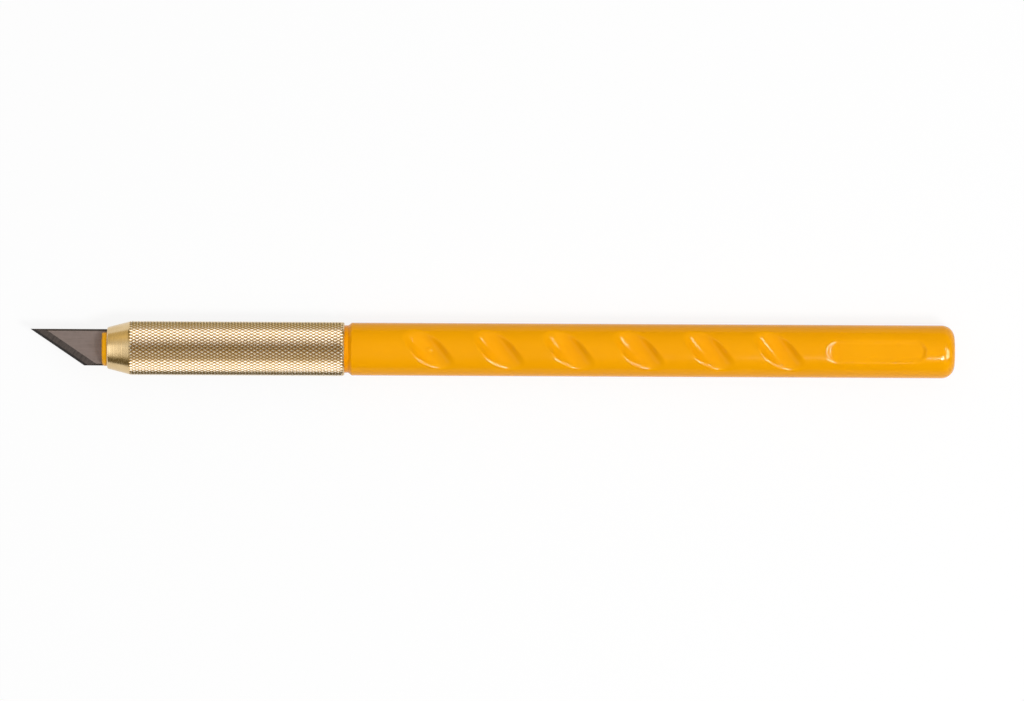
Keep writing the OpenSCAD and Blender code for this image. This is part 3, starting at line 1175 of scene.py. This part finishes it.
@dataclass
class Collar:
    """The screwed brass collar: smooth conical nose, diamond knurl, bores, cone and inside thread.

    Attributes:
        axis: Where the knife lies.
        radius: Radius over the knurl.
        thread: The inside thread.
        bore_r: Radius of the bore at the nose.
        bore_shade: Radii at which the painted shade on smooth brass is full and at which it has faded out.
            The bore lies near the second.
        lip_wall: Wall of the lip at the nose.
        lip_bevel: Bevel of the lip's outer edge.
        lip_len: Length of the bore at the nose.
        cone_len: Length of the closing cone.
        nose_len: Length of the conical nose.
        knurl_step: How far the nose's rear end and the chamfers' ends lie below the knurl's crests.
        knurl_bevel: Length of the chamfer at the knurl's ends.
        knurl_depth: Depth of the knurl.
        knurl_shade: Depths below the crests at which the painted shade on the knurl's metal is full and at
            which it has faded out.
        knurl_starts: Number of pyramids round the collar.
        knurl_angle: Angle of the knurl's grooves to the axis, in degrees.
        knurl_flat: Width of a pyramid's blunt top, as a share of its root.
        knurl_lag: How far behind the nose's rear end the knurl starts.
        knurl_sink: How deep a pyramid is rooted in the collar.
        knurl_foot: Lengths over which the outline drops to the knurl's root, and from it to the rear edge.
        wall: Wall of the skirt, with the knurl.
        main_bore_r: Radius of the main bore.
        relief_len: Distance from the nose's front to the thread's relief.
        skirt_len: Length of the skirt behind the thread.
        thread_turns: Turns of the thread.
        thread_lead: Distance from the relief's front to the thread.
        thread_step: How much smaller the thread's wall is than the skirt, in radius.
        edge: Rounding of small edges.
        segments: Points in a ring.
        crease: Least turn of the edges that stay sharp, in degrees.
    """

    axis: Axis
    radius: float
    thread: Thread
    bore_r: float = 3.148
    bore_shade: Pair = (2.6, 3.2)
    lip_wall: float = 0.3
    lip_bevel: float = 0.15
    lip_len: float = 0.5
    cone_len: float = 3.4
    nose_len: float = 3.25
    knurl_step: float = 0.23
    knurl_bevel: float = 0.45
    knurl_depth: float = 0.178
    knurl_shade: Pair = (0.165, 0.045)
    knurl_starts: int = 48
    knurl_angle: float = 30.0
    knurl_flat: float = 0.16
    knurl_lag: float = 0.28
    knurl_sink: float = 0.03
    knurl_foot: Pair = (0.06, 0.05)
    wall: float = 0.5
    main_bore_r: float = 3.618
    relief_len: float = 28.6
    skirt_len: float = 2.1
    thread_turns: int = 8
    thread_lead: float = 1.375
    thread_step: float = 0.04
    edge: float = 0.04
    segments: int = 144
    crease: float = 28.0

    def __post_init__(self) -> None:
        """Works out the collar's stations and radii."""
        self.front, self.rear = self.axis.ends("collar")
        self.knurl = self.front + self.nose_len + self.knurl_lag
        self.skirt = self.rear - self.skirt_len
        self.relief = self.front + self.relief_len
        self.skirt_r = self.radius - self.wall
        self.thread_r = self.skirt_r - self.thread_step
        self.root_r = self.radius - self.knurl_depth

    def build(self, knurl: DiamondKnurl, thread: ThreadRidge, smooth_brass: bpy.types.Material,
              knurled_brass: bpy.types.Material) -> bpy.types.Object:
        """Makes the collar as a turned shell, with its knurl and inside thread.

        Args:
            knurl: The knurl's tree.
            thread: The thread's tree.
            smooth_brass: Material of the nose and the bores.
            knurled_brass: Material of the knurl.

        Returns:
            The collar's object.
        """
        outline = self.outline()
        rings = round_points(*outline.T, self.segments)
        faces = ring_faces(len(outline), self.segments, loop=True)
        obj = make_object("collar_brass", rings.reshape(-1, 3), faces, self.axis)
        smooth(obj, self.crease)
        obj.data.materials.append(smooth_brass)
        self.thread.cut(thread, obj, self.axis, smooth_brass, self.thread_r, self.relief + self.thread_lead,
                        self.thread_turns, outwards=False)
        self.roll_knurl(knurl, obj, knurled_brass)
        return obj

    def outline(self) -> np.ndarray:
        """Closed half section of the wall: outside from nose to rear, then inside back to the nose.

        Returns:
            An array of stations and radii, one row a point.
        """
        nose_r = self.bore_r + self.lip_wall
        step = self.knurl_step - self.knurl_lag * (self.radius - self.knurl_step - nose_r) / self.nose_len
        return rounded((
            Corner(self.front, self.bore_r, self.edge),
            Corner(self.front, nose_r - self.lip_bevel, self.edge),
            Corner(self.front + self.lip_bevel, nose_r, self.edge),
            Corner(self.knurl, self.radius - step, self.edge),
            Corner(self.knurl + self.knurl_foot[0], self.root_r),
            Corner(self.rear - self.knurl_foot[1], self.root_r),
            Corner(self.rear, self.radius - self.knurl_bevel / 2, self.edge / 2),
            Corner(self.rear, self.skirt_r, self.edge),
            Corner(self.skirt, self.skirt_r),
            Corner(self.skirt, self.thread_r),
            Corner(self.relief, self.thread_r),
            Corner(self.relief, self.main_bore_r, self.edge),
            Corner(self.front + self.lip_len + self.cone_len, self.main_bore_r),
            Corner(self.front + self.lip_len, self.bore_r),
        ), loop=True)

    def roll_knurl(self, tool: DiamondKnurl, obj: bpy.types.Object, brass: bpy.types.Material) -> None:
        """Sets the knurl's pyramids on the collar.

        Args:
            tool: The knurl's tree.
            obj: The collar's object.
            brass: The knurl's material.
        """
        width = FULL_TURN * self.radius / self.knurl_starts
        row_step = width / math.tan(math.radians(self.knurl_angle)) / 2
        tool.apply(obj, {
            "Rows": math.ceil((self.rear - self.knurl) / row_step) + 1,
            "Starts": self.knurl_starts,
            "Front": self.axis.frame_x(self.knurl),
            "Rear": self.axis.frame_x(self.rear),
            "Row Step": row_step * MM,
            "Root Radius": self.root_r * MM,
            "Crest Radius": self.radius * MM,
            "Flat Share": self.knurl_flat,
            "Sink": self.knurl_sink * MM,
            "Chamfer": self.knurl_bevel * MM,
            "Chamfer Slope": self.knurl_step / self.knurl_bevel,
            "Axis Height": self.axis.height,
            "Finish": brass,
        })

    def pit_shade_radii(self) -> Pair:
        """Radii at which the knurl's painted shade is full and at which it has faded out."""
        return tuple(self.radius - depth for depth in self.knurl_shade)

    def dress(self, obj: bpy.types.Object) -> None:
        """Puts the collar on its body in place of the plain solid.

        Args:
            obj: The collar's object.
        """
        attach(obj, "collar")
        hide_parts("collar")


@dataclass
class Blade:
    """The strip blade with its ground bevels, honed edge, rolled long edges and bitten tail.

    Attributes:
        axis: Where the knife lies.
        edge_angle: Angle of the slanted edge to the spine, in degrees.
        bevel_w: Width of the ground bevels.
        hone_w: Width of the honed edge.
        edge_t: Thickness that the bevels alone would leave at the edge.
        hone_share: Share of that thickness that is left by honing.
        long_edge: Depth of the rolled long edges.
        long_edge_w: Width of the rolled long edges.
        notch_r: Radius of the bite at the tail.
        notch_steps: Points along the bite.
        tail_blunt: Height of the blunt end of the tail.
        cut_slack: Distance, in metres, within which a point counts as lying on a cut.
    """

    axis: Axis
    edge_angle: float = 34.0
    bevel_w: float = 1.35
    hone_w: float = 0.4
    edge_t: float = 0.03
    hone_share: float = 0.45
    long_edge: float = 0.18
    long_edge_w: float = 0.3
    notch_r: float = 1.7
    notch_steps: int = 14
    tail_blunt: float = 0.4
    cut_slack: float = 1e-9

    def __post_init__(self) -> None:
        """Takes the strip's size from the frame."""
        low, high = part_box("blade")
        self.length = self.axis.station(high.x)
        self.spine, self.belly = high.y / MM, low.y / MM
        self.thick = (high.z - low.z) / MM

    def build(self, steels: Sequence[bpy.types.Material]) -> bpy.types.Object:
        """Makes the blade by grinding an extruded strip.

        Args:
            steels: Materials of the blade's surfaces, in the order of Ground.

        Returns:
            The blade's object.
        """
        outline = self.outline()
        half, count = self.thick / 2, len(outline)
        points = [(x, y, z) for z in (-half, half) for x, y in outline]
        faces = [tuple(range(count)), tuple(range(count, 2 * count))]
        faces += [(i, (i + 1) % count, (i + 1) % count + count, i + count) for i in range(count)]
        obj = make_object("blade_strip", np.array(points), faces, self.axis)
        for steel in steels:
            obj.data.materials.append(steel)
        strip = bmesh.new()
        strip.from_mesh(obj.data)
        for sign in (1, -1):
            self.grind_edges(strip, sign)
        strip.to_mesh(obj.data)
        strip.free()
        return obj

    def outline(self) -> list[Pair]:
        """Flat outline: tip, heel, tail and the round bite at the tail's upper corner.

        Returns:
            The station and the y of each point.
        """
        slope = math.tan(math.radians(self.edge_angle))
        heel = (self.spine - self.belly) / slope
        tail_top = self.length - (self.spine - self.belly - self.tail_blunt) / slope
        start, end = -math.radians(self.edge_angle), -math.pi
        bite = [(tail_top + self.notch_r * math.cos(a), self.spine + self.notch_r * math.sin(a))
                for a in np.linspace(start, end, self.notch_steps)]
        tail = [(self.length, self.belly), (self.length, self.belly + self.tail_blunt)]
        return [(0.0, self.spine), (heel, self.belly), *tail, *bite]

    def grind_edges(self, strip: bmesh.types.BMesh, sign: int) -> None:
        """Grinds the bevel, the honed edge and both long edges of one face.

        Args:
            strip: The blade's mesh.
            sign: 1 for the +z face and -1 for the other.
        """
        slant = math.radians(self.edge_angle)
        inwards = (math.sin(slant), math.cos(slant))
        half, thin = self.thick / 2, self.edge_t / 2
        rise = (half - thin) / self.bevel_w
        self.grind(strip, (0.0, self.spine, sign * thin), inwards, rise, sign, Ground.BEVEL)
        hone_foot = thin * self.hone_share
        hone_rise = (thin + rise * self.hone_w - hone_foot) / self.hone_w
        self.grind(strip, (0.0, self.spine, sign * hone_foot), inwards, hone_rise, sign, Ground.HONE)
        foot, side_rise = half - self.long_edge, self.long_edge / self.long_edge_w
        for y, way in ((self.spine, -1.0), (self.belly, 1.0)):
            self.grind(strip, (0.0, y, sign * foot), (0.0, way), side_rise, sign, Ground.SIDE)

    def grind(self, strip: bmesh.types.BMesh, spot: tuple[float, float, float], inwards: Pair,
              rise: float, sign: int, surface: Ground) -> None:
        """Cuts off what stands over one sloped plane and closes the cut.

        Args:
            strip: The blade's mesh.
            spot: A point of the plane, in the knife's own millimetres.
            inwards: Flat direction in which the plane climbs.
            rise: How fast it climbs.
            sign: 1 for the +z face and -1 for the other.
            surface: What the cut makes.
        """
        normal = Vector((-rise * inwards[0], -rise * inwards[1], sign)).normalized()
        place = Vector(self.axis.place(np.array(spot)))
        geometry = strip.verts[:] + strip.edges[:] + strip.faces[:]
        cut = bmesh.ops.bisect_plane(strip, geom=geometry, dist=self.cut_slack, plane_co=place,
                                     plane_no=normal, clear_outer=True)["geom_cut"]
        edges = [e for e in cut if isinstance(e, bmesh.types.BMEdge)]
        for face in bmesh.ops.contextual_create(strip, geom=edges)["faces"]:
            face.material_index = surface.value
        bmesh.ops.recalc_face_normals(strip, faces=strip.faces)

    def dress(self, obj: bpy.types.Object) -> None:
        """Puts the blade on its body in place of the plain solid.

        Args:
            obj: The blade's object.
        """
        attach(obj, "blade")
        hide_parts("blade")


@dataclass
class Jaw:
    """One of the collet's two jaws: its solid, with the edges of the tip softened.

    Attributes:
        node: Name of the jaw's node and body.
        tip_edge: Rounding of the tip's edges.
        steps: Faces across a rounding.
        tip_depth: How far behind its foremost point the tip's edges are looked for.
        least_turn: Least turn of the edges that are rounded, in radians.
        merge_gap: Distance within which points of the solid are merged.
        flat_turn: Greatest turn of the edges that are dissolved, in degrees.
        crease: Least turn of the edges that stay sharp, in degrees.
    """

    node: str
    tip_edge: float = 0.2
    steps: int = 3
    tip_depth: float = 0.01
    least_turn: float = 0.8
    merge_gap: float = 0.001
    flat_turn: float = 0.5
    crease: float = 35.0

    def build(self, frame: dict[str, Any], plastic: bpy.types.Material) -> bpy.types.Object:
        """Makes the jaw from its solid.

        Args:
            frame: What the frame holds.
            plastic: The jaw's material.

        Returns:
            The jaw's object.
        """
        shell = bmesh.new()
        shell.from_mesh(frame["nodes"][self.node].data)
        bmesh.ops.remove_doubles(shell, verts=shell.verts, dist=self.merge_gap * MM)
        bmesh.ops.dissolve_limit(shell, angle_limit=math.radians(self.flat_turn), verts=shell.verts,
                                 edges=shell.edges)
        bmesh.ops.bevel(shell, geom=self.tip_edges(shell), offset=self.tip_edge * MM, segments=self.steps,
                        profile=0.5, affect="EDGES", clamp_overlap=True)
        name = f"{self.node}_moulding"
        mesh = bpy.data.meshes.new(name)
        shell.to_mesh(mesh)
        shell.free()
        obj = show(name, mesh)
        smooth(obj, self.crease)
        mesh.materials.append(plastic)
        return obj

    def tip_edges(self, shell: bmesh.types.BMesh) -> list[bmesh.types.BMEdge]:
        """Sharp edges at the jaw's tip.

        Args:
            shell: The jaw's mesh.

        Returns:
            The edges.
        """
        tip = min(vert.co.x for vert in shell.verts) + self.tip_depth * MM
        return [edge for edge in shell.edges
                if all(vert.co.x < tip for vert in edge.verts)
                and edge.calc_face_angle(0.0) > self.least_turn]

    def dress(self, obj: bpy.types.Object) -> None:
        """Puts the jaw on its body in place of the plain solid.

        Args:
            obj: The jaw's object.
        """
        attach(obj, self.node)
        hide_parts(self.node)


@dataclass
class Collet:
    """The collet's head and shank, which keep their solid and get a finish.

    Attributes:
        node: Name of the collet's node.
    """

    node: str = "collet"

    def dress(self, frame: dict[str, Any], plastic: bpy.types.Material) -> None:
        """Gives the collet's solid its finish.

        Args:
            frame: What the frame holds.
            plastic: The collet's material.
        """
        mesh = frame["nodes"][self.node].data
        mesh.materials.clear()
        mesh.materials.append(plastic)


@dataclass(frozen=True)
class Finishes:
    """The knife's materials.

    Attributes:
        barrel: Plastic of the barrel.
        collet: Plastic of the collet and its jaws.
        nose: Brass of the collar's nose and bores.
        knurl: Brass of the collar's knurl.
        steels: Steels of the blade's surfaces, in the order of Ground.
    """

    barrel: bpy.types.Material
    collet: bpy.types.Material
    nose: bpy.types.Material
    knurl: bpy.types.Material
    steels: tuple[bpy.types.Material, ...]


def make_finishes(axis: Axis, barrel: Barrel, collar: Collar) -> Finishes:
    """Makes the knife's materials.

    Args:
        axis: Where the knife lies.
        barrel: The barrel, which gives where the painted shade beside the collar lies.
        collar: The collar, which gives the radii of its painted shade.

    Returns:
        The materials.
    """
    barrel_plastic = MouldedPlastic(
        "barrel_plastic",
        colour=(0.925, 0.379, 0.001),
        flow_colour=(0.895, 0.361, 0.001),
        # Painted shade beside the collar, on the neck and the shoulder.
        neck_shade=barrel.neck_shade(),
    )
    collet_plastic = MouldedPlastic(
        "collet_plastic",
        colour=(0.98, 0.44, 0.006),
        flow_colour=(0.95, 0.415, 0.006),
        roughness=(0.22, 0.32),
    )
    nose_brass = TurnedBrass(
        "collar_nose_brass",
        axis.height,
        colour=(0.72, 0.54, 0.295),
        tarnish_colour=(0.66, 0.475, 0.24),
        # Painted shade in the bore.
        pit_shade_colour=(0.32, 0.19, 0.06),
        pit_shade_radii=collar.bore_shade,
    )
    knurl_brass = TurnedBrass(
        "collar_knurl_brass",
        axis.height,
        # Painted highlight: this copy of the collar's brass is far paler than the nose's, to stand in for the
        # bright highlights on the knurl's bands.
        colour=(0.98, 0.9, 0.8),
        tarnish_colour=(0.95, 0.85, 0.7),
        # Painted shade in the knurl's roots.
        pit_shade_colour=(0.46, 0.27, 0.065),
        pit_shade_radii=collar.pit_shade_radii(),
        roughness=(0.18, 0.26),
    )
    steels = {
        Ground.FACE: ("blade_face_steel", (0.262, 0.204, 0.182), (0.201, 0.156, 0.138), Lay.ALONG),
        Ground.BEVEL: ("blade_bevel_steel", (0.1, 0.079, 0.07), (0.035, 0.028, 0.025), Lay.SQUARE_TO_EDGE),
        Ground.HONE: ("blade_hone_steel", (0.03, 0.025, 0.024), (0.018, 0.015, 0.015), Lay.ALONG_EDGE),
        Ground.SIDE: ("blade_side_steel", (0.07, 0.057, 0.053), (0.047, 0.038, 0.035), Lay.ALONG),
    }
    return Finishes(
        barrel_plastic.make(),
        collet_plastic.make(),
        nose_brass.make(),
        knurl_brass.make(),
        tuple(GroundSteel(*steels[surface]).make() for surface in Ground),
    )


@dataclass(frozen=True)
class Lamp:
    """One round or oval lamp that looks at the knife.

    Attributes:
        name: The lamp's name.
        place: Where it stands, in millimetres from the middle of the knife.
        size: Its width and height.
        radiance: How bright its face looks, where 1 is a white wall in plain light.
        colour: Colour of its light.
        sparkle: Whether it shows on the barrel alone, as a highlight, and lights nothing else.
    """

    name: str
    place: tuple[float, float, float]
    size: Pair
    radiance: float
    colour: Colour = WHITE
    sparkle: bool = False

    def build(self, shiny: bpy.types.Collection) -> None:
        """Makes the lamp.

        Args:
            shiny: The pieces on which highlights show.
        """
        light = bpy.data.lights.new(self.name, "AREA")
        light.shape = "ELLIPSE"
        light.size, light.size_y = (length * MM for length in self.size)
        area = math.pi * light.size * light.size_y / 4
        light.energy = self.radiance * math.pi * area
        light.color = self.colour
        lamp = bpy.data.objects.new(self.name, light)
        lamp.location = Vector(self.place) * MM
        lamp.rotation_euler = (-lamp.location).to_track_quat("-Z", "Y").to_euler()
        lamp.visible_camera = False
        lamp.visible_diffuse = not self.sparkle
        lamp.visible_glossy = self.sparkle
        if self.sparkle:
            lamp.light_linking.receiver_collection = shiny
        bpy.context.scene.collection.objects.link(lamp)


@dataclass
class Studio:
    """The white floor, the soft light and the camera, in millimetres from the middle of the knife.

    A way is a direction of light in the sky, as three parts of a vector of length 1.

    Attributes:
        axis: Where the knife lies.
        view_width: Width of the picture at the height of the knife's axis.
        view_middle: What lies in the middle of the picture.
        view_roll: Turn of the camera, in degrees.
        lens: Focal length.
        sensor: Width of the camera's sensor.
        floor_size: Length of the floor's sides.
        floor_colour: Shade of the floor, from 0, black, to 1, white.
        floor_lift: Share of plain white in the floor as the camera, reflections and refractions see it.
        zenith: Light of the sky overhead.
        horizon: Light of the low sky on the -Y side and on the +Y side.
        horizon_turn: Y parts of a way between which the low sky changes.
        sky_band: Z parts of a way between which the low sky turns into the one overhead.
        strip_near: Slopes, Y over Z, between which the strip sets in.
        strip_far: Slopes between which the strip ends again.
        end_near: Slopes between which the strip sets in towards its ends.
        end_far: Slopes between which the strip stops towards its ends.
        end_reach: X parts of a way between which the strip's ends begin.
        strip_gain: Light of the strip in its middle and at its ends.
        least_rise: Least Z part of a way that a slope is taken over.
        sky_foot: Z parts of a way between which the strip and the card set in over the horizon.
        murk: Least light that reflections see beside the strip.
        card: Light of the card at its foot and higher up.
        card_side: Y parts of a way between which the card sets in.
        tip_card: Light that the card has in addition on the tip's side.
        tip_start: X parts of a way between which that light sets in.
        tip_end: X parts of a way between which that light ends.
        sky_colour: Colour of the sky and the strip.
        card_colour: Colour of what reflections see beside the strip.
        lamps: The lamps.
    """

    axis: Axis
    view_width: float = 168.7
    view_middle: Pair = (3.23, -0.115)
    view_roll: float = 0.28
    lens: float = 320.0
    sensor: float = 36.0
    floor_size: float = 9000.0
    floor_colour: float = 0.93
    floor_lift: float = 0.86
    zenith: float = 1.0
    horizon: Pair = (0.12, 0.55)
    horizon_turn: Pair = (-0.6, 0.8)
    sky_band: Pair = (0.42, 0.8)
    strip_near: Pair = (-1.9, -0.1)
    strip_far: Pair = (0.1, 1.3)
    end_near: Pair = (-1.9, -1.05)
    end_far: Pair = (0.18, 0.56)
    end_reach: Pair = (0.53, 0.6)
    strip_gain: Pair = (1.0, 2.9)
    least_rise: float = 0.05
    sky_foot: Pair = (0.25, 0.5)
    murk: float = 0.2
    card: Pair = (0.06, 0.38)
    card_side: Pair = (-0.2, 0.5)
    tip_card: float = 0.62
    tip_start: Pair = (-0.6, -0.48)
    tip_end: Pair = (-0.4, 0.0)
    sky_colour: Colour = (0.8, 0.8, 0.8)
    card_colour: Colour = (0.8, 0.66, 0.35)
    lamps: tuple[Lamp, ...] = (
        Lamp("key_lamp", (255.0, -175.0, 600.0), (160.0, 160.0), 34.0),
        Lamp("soft_box", (216.0, -320.0, 580.0), (225.0, 208.0), 116.0, DAYLIGHT, sparkle=True),
        Lamp("side_lamp", (207.0, 72.0, 220.0), (62.0, 62.0), 44.0, DAYLIGHT, sparkle=True),
        Lamp("end_lamp", (477.0, -75.0, 360.0), (380.0, 260.0), 67.0, DAYLIGHT, sparkle=True),
    )

    def __post_init__(self) -> None:
        """Makes the group of pieces on which highlights show, which is still empty."""
        self.shiny = bpy.data.collections.new("shiny_pieces")

    def build(self) -> None:
        """Makes everything round the knife."""
        self.make_floor()
        self.make_sky()
        for lamp in self.lamps:
            lamp.build(self.shiny)
        self.make_camera()
        bpy.context.scene.view_settings.view_transform = "Standard"

    def show_highlights(self, obj: bpy.types.Object) -> None:
        """Lets the highlights show on one more piece."""
        self.shiny.objects.link(obj)

    def make_floor(self) -> None:
        """Makes the white floor that the knife lies on."""
        half = self.floor_size / 2 * MM
        corners = [(-half, -half, 0), (half, -half, 0), (half, half, 0), (-half, half, 0)]
        mesh = bpy.data.meshes.new("floor")
        mesh.from_pydata(corners, [], [(0, 1, 2, 3)])
        floor = show("floor", mesh)
        material = bpy.data.materials.new("white_floor")
        material.use_nodes = True
        wiring = Wiring(material.node_tree)
        rays = wiring.add("ShaderNodeLightPath").outputs
        seen = wiring.higher(rays["Is Camera Ray"], rays["Is Glossy Ray"])
        seen = wiring.higher(seen, rays["Is Transmission Ray"])
        share = wiring.times(seen, self.floor_lift)
        matt = wiring.add("ShaderNodeBsdfDiffuse", {"Color": opaque((self.floor_colour,) * 3)}).outputs[0]
        glow = wiring.add("ShaderNodeEmission", {"Color": opaque(WHITE), "Strength": 1.0}).outputs[0]
        mixed = wiring.add("ShaderNodeMixShader", {0: share, 1: matt, 2: glow}).outputs[0]
        wiring.add("ShaderNodeOutputMaterial", {"Surface": mixed})
        mesh.materials.append(material)

    def make_sky(self) -> None:
        """Makes the soft light: a broad bright sky, of which reflections see only a strip and a pale card."""
        world = bpy.data.worlds.new("soft_light")
        world.use_nodes = True
        bpy.context.scene.world = world
        wiring = Wiring(world.node_tree)
        way = wiring.parts(wiring.add("ShaderNodeTexCoord").outputs["Generated"])
        low = wiring.spread(way[1], self.horizon_turn, self.horizon)
        broad = wiring.between(wiring.spread(way[2], self.sky_band, RISING), low, self.zenith)
        mirrored = wiring.add("ShaderNodeLightPath").outputs["Is Glossy Ray"]
        strip, mirror_light = self.mirror_sky(wiring, way)
        warmth = wiring.times(mirrored, wiring.minus(1.0, strip))
        background = wiring.add("ShaderNodeBackground", {
            "Color": wiring.blend(warmth, self.sky_colour, self.card_colour),
            "Strength": wiring.between(mirrored, broad, mirror_light),
        }).outputs[0]
        wiring.add("ShaderNodeOutputWorld", {"Surface": background})

    def mirror_sky(self, wiring: Wiring, way: Sequence[Socket]) -> tuple[Socket, Socket]:
        """The sky as reflections see it: a strip over the knife, a card on the +Y side, and little else.

        Args:
            wiring: The world's tree.
            way: The three parts of a way.

        Returns:
            How much a way belongs to the strip, and its light. The strip is brighter and has clearer sides
            towards its ends, and the card is paler towards the tip.
        """
        slope = wiring.over(way[1], wiring.higher(way[2], self.least_rise))
        over_horizon = wiring.spread(way[2], self.sky_foot, RISING)
        ends = wiring.spread(wiring.reckon("ABSOLUTE", way[0]), self.end_reach, RISING)
        middle_part = wiring.times(wiring.spread(slope, self.strip_near, RISING),
                                   wiring.spread(slope, self.strip_far, FALLING))
        end_part = wiring.times(wiring.spread(slope, self.end_near, RISING),
                                wiring.spread(slope, self.end_far, FALLING))
        strip = wiring.times(wiring.between(ends, middle_part, end_part), over_horizon)
        tip_side = wiring.times(wiring.spread(way[0], self.tip_end, (self.tip_card, 0.0)),
                                wiring.spread(way[0], self.tip_start, RISING))
        card = wiring.plus(tip_side, wiring.spread(way[2], self.sky_foot, self.card))
        behind = wiring.times(card, wiring.spread(way[1], self.card_side, RISING))
        gain = wiring.between(ends, *self.strip_gain)
        return strip, wiring.between(strip, wiring.plus(behind, self.murk), gain)

    def make_camera(self) -> None:
        """Makes the camera that looks straight down on the knife."""
        data = bpy.data.cameras.new("camera")
        data.lens = self.lens
        data.sensor_width = self.sensor
        camera = bpy.data.objects.new("camera", data)
        distance = self.view_width * self.lens / self.sensor
        x, y = self.view_middle
        camera.location = (x * MM, y * MM, self.axis.height + distance * MM)
        camera.rotation_euler = (0.0, 0.0, math.radians(self.view_roll))
        bpy.context.scene.collection.objects.link(camera)
        bpy.context.scene.camera = camera


def main() -> None:
    """Loads the frame and builds the studio and then the knife's pieces in order."""
    logging.basicConfig(level=logging.INFO, format="%(name)s: %(message)s")
    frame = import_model()
    mounts = {mount["name"]: mount for mount in frame["record"]["mounts"]}
    axis = Axis(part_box("blade")[0].x, mounts["butt_face"]["pos_m"][2])

    studio = Studio(axis)
    studio.build()
    log.info("studio: floor, soft light, lamps and camera")

    thread = Thread()
    barrel = Barrel(axis, mounts["grip_sleeve"]["dims"]["r_mm"], thread)
    collar = Collar(axis, mounts["cap_seat"]["dims"]["r_mm"], thread)
    blade = Blade(axis)
    finishes = make_finishes(axis, barrel, collar)
    knurl, winding = DiamondKnurl(), ThreadRidge()

    moulding = barrel.build(winding, finishes.barrel)
    barrel.dress(moulding)
    studio.show_highlights(moulding)
    log.info("barrel: %d scoops in a row, panel %.1f mm long", barrel.scoops.count, barrel.panel.length)

    collar.dress(collar.build(knurl, winding, finishes.nose, finishes.knurl))
    log.info("collar: knurl of %d starts", collar.knurl_starts)

    blade.dress(blade.build(finishes.steels))
    log.info("blade: %.1f mm long, %.2f mm thick", blade.length, blade.thick)

    Collet().dress(frame, finishes.collet)
    for side in Side:
        jaw = Jaw(side.value)
        jaw.dress(jaw.build(frame, finishes.collet))
    log.info("collet: head and shank, and %d jaws", len(Side))


if __name__ == "__main__":
    main()
